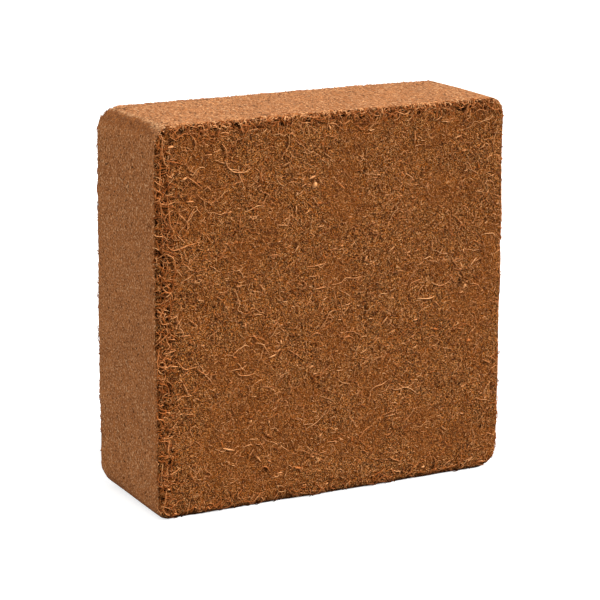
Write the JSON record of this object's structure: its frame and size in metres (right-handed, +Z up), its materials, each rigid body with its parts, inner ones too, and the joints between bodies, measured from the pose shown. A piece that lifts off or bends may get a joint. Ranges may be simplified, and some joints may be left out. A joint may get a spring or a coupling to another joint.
{
  "type": "coconut coir bale",
  "caption": "Square block of pressed coconut coir pith and fibre with rounded corners, matted pressed faces and smooth mould sides, standing on a narrow side.",
  "frame": {"origin": "middle of the underside, on the surface that the bale stands on", "axes": "+Z up, +X along the width, -Y out of the large pressed face that the picture shows"},
  "size_m": [0.3, 0.105, 0.295],
  "materials": {
    "pressed_coir": "pressed coir pith and short fibre, dry and matte"
  },
  "bodies": {
    "root": {"coir_bale": "pressed_coir"}
  },
  "joints": []
}
